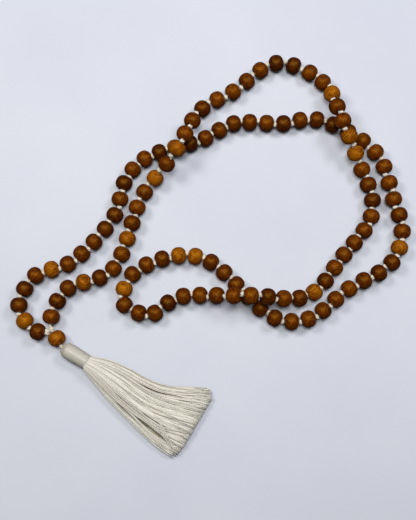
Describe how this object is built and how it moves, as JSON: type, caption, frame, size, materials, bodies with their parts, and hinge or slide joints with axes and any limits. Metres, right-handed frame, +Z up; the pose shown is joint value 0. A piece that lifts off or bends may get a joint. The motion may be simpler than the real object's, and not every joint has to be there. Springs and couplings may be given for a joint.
{
  "type": "mala prayer beads",
  "caption": "Long strand of round wooden prayer beads, hand-knotted on cotton cord, with a guru bead and a fanned thread tassel, laid double on a table",
  "frame": {"origin": "On the table surface, under the middle of the bounding box of the whole mala as it lies.", "axes": "+Z is up from the table. +Y points from the tassel side towards the far loop, +X to the right of the guru bead."},
  "size_m": [0.1857, 0.1886, 0.0165],
  "materials": {
    "bead_wood": "turned hardwood beads, stained orange-brown to dark brown, rubbed to a satin sheen",
    "knotted_cord": "twisted natural cotton cord, matt",
    "tassel_cotton": "cream cotton thread with a slight silky sheen"
  },
  "bodies": {
    "root": {"knotted_cord_start": "knotted_cord", "knotted_cord_end": "knotted_cord", "threaded_run_25_to_36": "bead_wood", "threaded_run_37_to_48": "bead_wood", "threaded_run_49_to_60": "bead_wood", "threaded_run_61_to_72": "bead_wood", "threaded_run_73_to_84": "bead_wood"},
    "guru_drop": {"hanging_cord": "knotted_cord"},
    "guru": {"guru_bead": "bead_wood"},
    "tassel_loop": {"tassel_knot": "knotted_cord"},
    "tassel": {"tassel_threads": "tassel_cotton", "tassel_neck_wrap": "tassel_cotton"},
    "turning_bead_001": {"bead_001": "bead_wood"},
    "turning_bead_002": {"bead_002": "bead_wood"},
    "turning_bead_003": {"bead_003": "bead_wood"},
    "turning_bead_004": {"bead_004": "bead_wood"},
    "turning_bead_005": {"bead_005": "bead_wood"},
    "turning_bead_006": {"bead_006": "bead_wood"},
    "turning_bead_007": {"bead_007": "bead_wood"},
    "turning_bead_008": {"bead_008": "bead_wood"},
    "turning_bead_009": {"bead_009": "bead_wood"},
    "turning_bead_010": {"bead_010": "bead_wood"},
    "turning_bead_011": {"bead_011": "bead_wood"},
    "turning_bead_012": {"bead_012": "bead_wood"},
    "turning_bead_013": {"bead_013": "bead_wood"},
    "turning_bead_014": {"bead_014": "bead_wood"},
    "turning_bead_015": {"bead_015": "bead_wood"},
    "turning_bead_016": {"bead_016": "bead_wood"},
    "turning_bead_017": {"bead_017": "bead_wood"},
    "turning_bead_018": {"bead_018": "bead_wood"},
    "turning_bead_019": {"bead_019": "bead_wood"},
    "turning_bead_020": {"bead_020": "bead_wood"},
    "turning_bead_021": {"bead_021": "bead_wood"},
    "turning_bead_022": {"bead_022": "bead_wood"},
    "turning_bead_023": {"bead_023": "bead_wood"},
    "turning_bead_024": {"bead_024": "bead_wood"},
    "turning_bead_085": {"bead_085": "bead_wood"},
    "turning_bead_086": {"bead_086": "bead_wood"},
    "turning_bead_087": {"bead_087": "bead_wood"},
    "turning_bead_088": {"bead_088": "bead_wood"},
    "turning_bead_089": {"bead_089": "bead_wood"},
    "turning_bead_090": {"bead_090": "bead_wood"},
    "turning_bead_091": {"bead_091": "bead_wood"},
    "turning_bead_092": {"bead_092": "bead_wood"},
    "turning_bead_093": {"bead_093": "bead_wood"},
    "turning_bead_094": {"bead_094": "bead_wood"},
    "turning_bead_095": {"bead_095": "bead_wood"},
    "turning_bead_096": {"bead_096": "bead_wood"},
    "turning_bead_097": {"bead_097": "bead_wood"},
    "turning_bead_098": {"bead_098": "bead_wood"},
    "turning_bead_099": {"bead_099": "bead_wood"},
    "turning_bead_100": {"bead_100": "bead_wood"},
    "turning_bead_101": {"bead_101": "bead_wood"},
    "turning_bead_102": {"bead_102": "bead_wood"},
    "turning_bead_103": {"bead_103": "bead_wood"},
    "turning_bead_104": {"bead_104": "bead_wood"},
    "turning_bead_105": {"bead_105": "bead_wood"},
    "turning_bead_106": {"bead_106": "bead_wood"},
    "turning_bead_107": {"bead_107": "bead_wood"},
    "turning_bead_108": {"bead_108": "bead_wood"}
  },
  "joints": [
    {"name": "guru_lift", "type": "hinge", "parent": "root", "child": "guru_drop", "pos_m": [-0.0736, -0.0372, 0.004], "axis": [-0.866, -0.5, 0], "range_deg": [0, 45]},
    {"name": "guru_turn", "type": "hinge", "parent": "guru_drop", "child": "guru", "pos_m": [-0.07118, -0.0414, 0.004], "axis": [0.5, -0.866, 0], "continuous": true},
    {"name": "tassel_swing", "type": "hinge", "parent": "guru_drop", "child": "tassel_loop", "pos_m": [-0.06893, -0.0453, 0.004], "axis": [0, 0, 1], "range_deg": [-70, 10]},
    {"name": "tassel_lift", "type": "hinge", "parent": "tassel_loop", "child": "tassel", "pos_m": [-0.06893, -0.0453, 0.004], "axis": [-0.5075, -0.8616, 0], "range_deg": [0, 30]},
    {"name": "turn_of_bead_001", "type": "hinge", "parent": "root", "child": "turning_bead_001", "pos_m": [-0.08002, -0.03829, 0.004], "axis": [-0.9589, 0.2837, 0], "continuous": true},
    {"name": "turn_of_bead_002", "type": "hinge", "parent": "root", "child": "turning_bead_002", "pos_m": [-0.08612, -0.03331, 0.004], "axis": [-0.6221, 0.783, 0], "continuous": true},
    {"name": "turn_of_bead_003", "type": "hinge", "parent": "root", "child": "turning_bead_003", "pos_m": [-0.08904, -0.02609, 0.004], "axis": [0.0557, 0.9984, 0], "continuous": true},
    {"name": "turn_of_bead_004", "type": "hinge", "parent": "root", "child": "turning_bead_004", "pos_m": [-0.08657, -0.01858, 0.004], "axis": [0.478, 0.8783, 0], "continuous": true},
    {"name": "turn_of_bead_005", "type": "hinge", "parent": "root", "child": "turning_bead_005", "pos_m": [-0.08175, -0.01228, 0.004], "axis": [0.7634, 0.646, 0], "continuous": true},
    {"name": "turn_of_bead_006", "type": "hinge", "parent": "root", "child": "turning_bead_006", "pos_m": [-0.07438, -0.00947, 0.004], "axis": [0.9779, 0.209, 0], "continuous": true},
    {"name": "turn_of_bead_007", "type": "hinge", "parent": "root", "child": "turning_bead_007", "pos_m": [-0.06684, -0.00702, 0.004], "axis": [0.8682, 0.4963, 0], "continuous": true},
    {"name": "turn_of_bead_008", "type": "hinge", "parent": "root", "child": "turning_bead_008", "pos_m": [-0.06055, -0.00214, 0.004], "axis": [0.7413, 0.6712, 0], "continuous": true},
    {"name": "turn_of_bead_009", "type": "hinge", "parent": "root", "child": "turning_bead_009", "pos_m": [-0.05492, 0.00349, 0.004], "axis": [0.6757, 0.7371, 0], "continuous": true},
    {"name": "turn_of_bead_010", "type": "hinge", "parent": "root", "child": "turning_bead_010", "pos_m": [-0.04979, 0.00958, 0.004], "axis": [0.6071, 0.7946, 0], "continuous": true},
    {"name": "turn_of_bead_011", "type": "hinge", "parent": "root", "child": "turning_bead_011", "pos_m": [-0.04538, 0.01621, 0.004], "axis": [0.4711, 0.8821, 0], "continuous": true},
    {"name": "turn_of_bead_012", "type": "hinge", "parent": "root", "child": "turning_bead_012", "pos_m": [-0.0431, 0.02381, 0.004], "axis": [0.165, 0.9863, 0], "continuous": true},
    {"name": "turn_of_bead_013", "type": "hinge", "parent": "root", "child": "turning_bead_013", "pos_m": [-0.04123, 0.03153, 0.004], "axis": [0.4217, 0.9067, 0], "continuous": true},
    {"name": "turn_of_bead_014", "type": "hinge", "parent": "root", "child": "turning_bead_014", "pos_m": [-0.03725, 0.03803, 0.004], "axis": [0.6167, 0.7872, 0], "continuous": true},
    {"name": "turn_of_bead_015", "type": "hinge", "parent": "root", "child": "turning_bead_015", "pos_m": [-0.03168, 0.04322, 0.004], "axis": [0.8328, 0.5535, 0], "continuous": true},
    {"name": "turn_of_bead_016", "type": "hinge", "parent": "root", "child": "turning_bead_016", "pos_m": [-0.02476, 0.04641, 0.004], "axis": [0.944, 0.3299, 0], "continuous": true},
    {"name": "turn_of_bead_017", "type": "hinge", "parent": "root", "child": "turning_bead_017", "pos_m": [-0.01746, 0.04864, 0.004], "axis": [0.9632, 0.2689, 0], "continuous": true},
    {"name": "turn_of_bead_018", "type": "hinge", "parent": "root", "child": "turning_bead_018", "pos_m": [-0.0101, 0.0507, 0.004], "axis": [0.959, 0.2835, 0], "continuous": true},
    {"name": "turn_of_bead_019", "type": "hinge", "parent": "root", "child": "turning_bead_019", "pos_m": [-0.00291, 0.05327, 0.004], "axis": [0.9051, 0.4253, 0], "continuous": true},
    {"name": "turn_of_bead_020", "type": "hinge", "parent": "root", "child": "turning_bead_020", "pos_m": [0.00362, 0.05721, 0.004], "axis": [0.8356, 0.5494, 0], "continuous": true},
    {"name": "turn_of_bead_021", "type": "hinge", "parent": "root", "child": "turning_bead_021", "pos_m": [0.01047, 0.06049, 0.004], "axis": [0.9696, 0.2447, 0], "continuous": true},
    {"name": "turn_of_bead_022", "type": "hinge", "parent": "root", "child": "turning_bead_022", "pos_m": [0.01807, 0.06114, 0.004], "axis": [0.9998, -0.0197, 0], "continuous": true},
    {"name": "turn_of_bead_023", "type": "hinge", "parent": "root", "child": "turning_bead_023", "pos_m": [0.02611, 0.06068, 0.004], "axis": [0.9977, -0.068, 0], "continuous": true},
    {"name": "turn_of_bead_024", "type": "hinge", "parent": "root", "child": "turning_bead_024", "pos_m": [0.03416, 0.06051, 0.004], "axis": [0.9974, 0.0726, 0], "continuous": true},
    {"name": "turn_of_bead_085", "type": "hinge", "parent": "root", "child": "turning_bead_085", "pos_m": [0.04704, 0.08563, 0.004], "axis": [-0.8513, 0.5246, 0], "continuous": true},
    {"name": "turn_of_bead_086", "type": "hinge", "parent": "root", "child": "turning_bead_086", "pos_m": [0.03937, 0.08927, 0.004], "axis": [-0.9477, 0.3192, 0], "continuous": true},
    {"name": "turn_of_bead_087", "type": "hinge", "parent": "root", "child": "turning_bead_087", "pos_m": [0.03101, 0.09045, 0.004], "axis": [-0.9915, -0.1303, 0], "continuous": true},
    {"name": "turn_of_bead_088", "type": "hinge", "parent": "root", "child": "turning_bead_088", "pos_m": [0.02337, 0.0869, 0.004], "axis": [-0.8101, -0.5863, 0], "continuous": true},
    {"name": "turn_of_bead_089", "type": "hinge", "parent": "root", "child": "turning_bead_089", "pos_m": [0.01683, 0.08146, 0.004], "axis": [-0.7498, -0.6616, 0], "continuous": true},
    {"name": "turn_of_bead_090", "type": "hinge", "parent": "root", "child": "turning_bead_090", "pos_m": [0.01021, 0.07613, 0.004], "axis": [-0.8402, -0.5423, 0], "continuous": true},
    {"name": "turn_of_bead_091", "type": "hinge", "parent": "root", "child": "turning_bead_091", "pos_m": [0.00264, 0.07226, 0.004], "axis": [-0.9036, -0.4284, 0], "continuous": true},
    {"name": "turn_of_bead_092", "type": "hinge", "parent": "root", "child": "turning_bead_092", "pos_m": [-0.00441, 0.06759, 0.00473], "axis": [-0.6743, -0.6876, 0.2693], "continuous": true},
    {"name": "turn_of_bead_093", "type": "hinge", "parent": "root", "child": "turning_bead_093", "pos_m": [-0.00909, 0.06052, 0.00849], "axis": [-0.3957, -0.7921, 0.4648], "continuous": true},
    {"name": "turn_of_bead_094", "type": "hinge", "parent": "root", "child": "turning_bead_094", "pos_m": [-0.01247, 0.05314, 0.01204], "axis": [-0.394, -0.8794, 0.2674], "continuous": true},
    {"name": "turn_of_bead_095", "type": "hinge", "parent": "root", "child": "turning_bead_095", "pos_m": [-0.01611, 0.04589, 0.01232], "axis": [-0.5055, -0.8367, -0.2106], "continuous": true},
    {"name": "turn_of_bead_096", "type": "hinge", "parent": "root", "child": "turning_bead_096", "pos_m": [-0.02105, 0.03946, 0.0091], "axis": [-0.6008, -0.6565, -0.4561], "continuous": true},
    {"name": "turn_of_bead_097", "type": "hinge", "parent": "root", "child": "turning_bead_097", "pos_m": [-0.02663, 0.03357, 0.00523], "axis": [-0.6328, -0.6944, -0.3427], "continuous": true},
    {"name": "turn_of_bead_098", "type": "hinge", "parent": "root", "child": "turning_bead_098", "pos_m": [-0.0316, 0.02716, 0.004], "axis": [-0.5297, -0.8482, 0], "continuous": true},
    {"name": "turn_of_bead_099", "type": "hinge", "parent": "root", "child": "turning_bead_099", "pos_m": [-0.03498, 0.0198, 0.004], "axis": [-0.3319, -0.9433, 0], "continuous": true},
    {"name": "turn_of_bead_100", "type": "hinge", "parent": "root", "child": "turning_bead_100", "pos_m": [-0.03727, 0.01242, 0.004], "axis": [-0.273, -0.962, 0], "continuous": true},
    {"name": "turn_of_bead_101", "type": "hinge", "parent": "root", "child": "turning_bead_101", "pos_m": [-0.03939, 0.00499, 0.004], "axis": [-0.2865, -0.9581, 0], "continuous": true},
    {"name": "turn_of_bead_102", "type": "hinge", "parent": "root", "child": "turning_bead_102", "pos_m": [-0.04189, -0.00232, 0.004], "axis": [-0.3795, -0.9252, 0], "continuous": true},
    {"name": "turn_of_bead_103", "type": "hinge", "parent": "root", "child": "turning_bead_103", "pos_m": [-0.04565, -0.00904, 0.004], "axis": [-0.6315, -0.7754, 0], "continuous": true},
    {"name": "turn_of_bead_104", "type": "hinge", "parent": "root", "child": "turning_bead_104", "pos_m": [-0.05192, -0.0134, 0.004], "axis": [-0.931, -0.365, 0], "continuous": true},
    {"name": "turn_of_bead_105", "type": "hinge", "parent": "root", "child": "turning_bead_105", "pos_m": [-0.05935, -0.01553, 0.004], "axis": [-0.9697, -0.2445, 0], "continuous": true},
    {"name": "turn_of_bead_106", "type": "hinge", "parent": "root", "child": "turning_bead_106", "pos_m": [-0.06654, -0.01824, 0.004], "axis": [-0.8254, -0.5645, 0], "continuous": true},
    {"name": "turn_of_bead_107", "type": "hinge", "parent": "root", "child": "turning_bead_107", "pos_m": [-0.07134, -0.02422, 0.004], "axis": [-0.4662, -0.8847, 0], "continuous": true},
    {"name": "turn_of_bead_108", "type": "hinge", "parent": "root", "child": "turning_bead_108", "pos_m": [-0.07399, -0.03145, 0.004], "axis": [-0.1989, -0.98, 0], "continuous": true}
  ]
}
